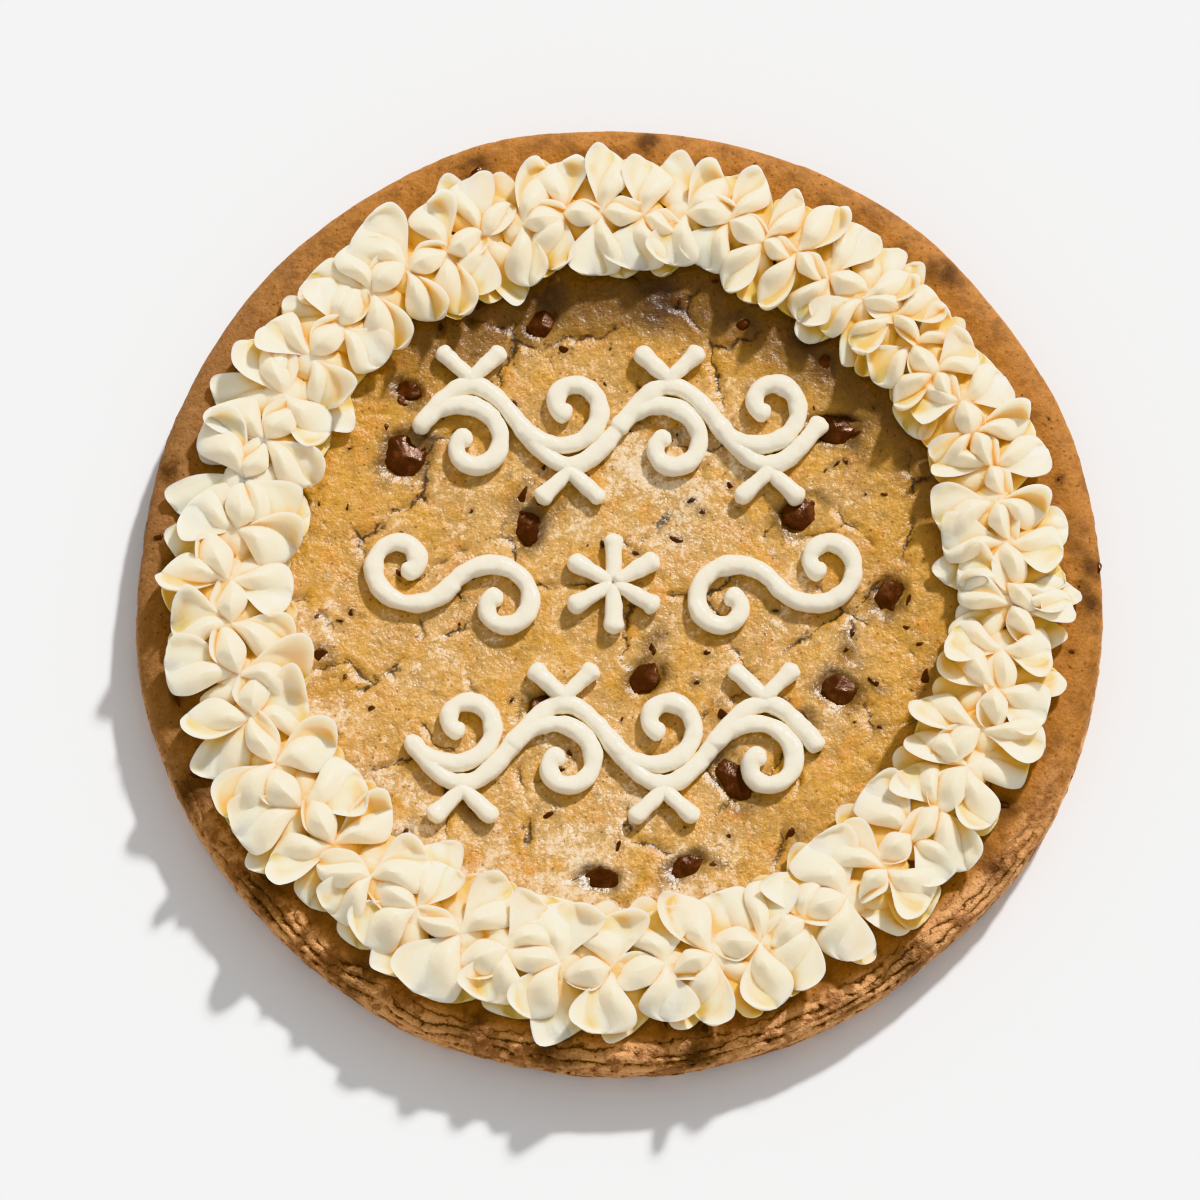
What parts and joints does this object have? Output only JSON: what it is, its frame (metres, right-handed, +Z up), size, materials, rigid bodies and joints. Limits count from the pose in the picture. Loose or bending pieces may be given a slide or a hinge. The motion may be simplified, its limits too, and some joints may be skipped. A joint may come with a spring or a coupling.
{
  "type": "cookie cake",
  "caption": "Thick round chocolate chunk cookie cake with a raised ring of piped buttercream flowers round its top and piped icing scrolls in its middle.",
  "frame": {"origin": "centre of the cookie's flat underside, at the bottom centre of the whole cake's box", "axes": "+Z is up out of the cake's top, +X is to the right and +Y is away from the guest when the cake is seen from its front"},
  "size_m": [0.3042, 0.307, 0.0306],
  "materials": {
    "baked_cookie": "matt baked crumb with a thin shiny crackled skin in the middle",
    "dark_chocolate": "glossy dark chocolate",
    "ivory_buttercream": "smooth satin buttercream",
    "white_icing": "glossy smooth icing"
  },
  "bodies": {
    "root": {"cookie": "baked_cookie", "buttercream_border": "ivory_buttercream", "chocolate_chunk_01": "dark_chocolate", "chocolate_chunk_02": "dark_chocolate", "chocolate_chunk_03": "dark_chocolate", "chocolate_chunk_04": "dark_chocolate", "chocolate_chunk_05": "dark_chocolate", "chocolate_chunk_06": "dark_chocolate", "chocolate_chunk_07": "dark_chocolate", "chocolate_chunk_08": "dark_chocolate", "chocolate_chunk_09": "dark_chocolate", "chocolate_chunk_10": "dark_chocolate", "chocolate_chunk_11": "dark_chocolate", "chocolate_chunk_12": "dark_chocolate", "chocolate_chunk_13": "dark_chocolate", "chocolate_chunk_14": "dark_chocolate", "piped_vine_upper": "white_icing", "piped_scroll_left": "white_icing", "piped_daisy": "white_icing", "piped_scroll_right": "white_icing", "piped_vine_lower": "white_icing"}
  },
  "joints": []
}
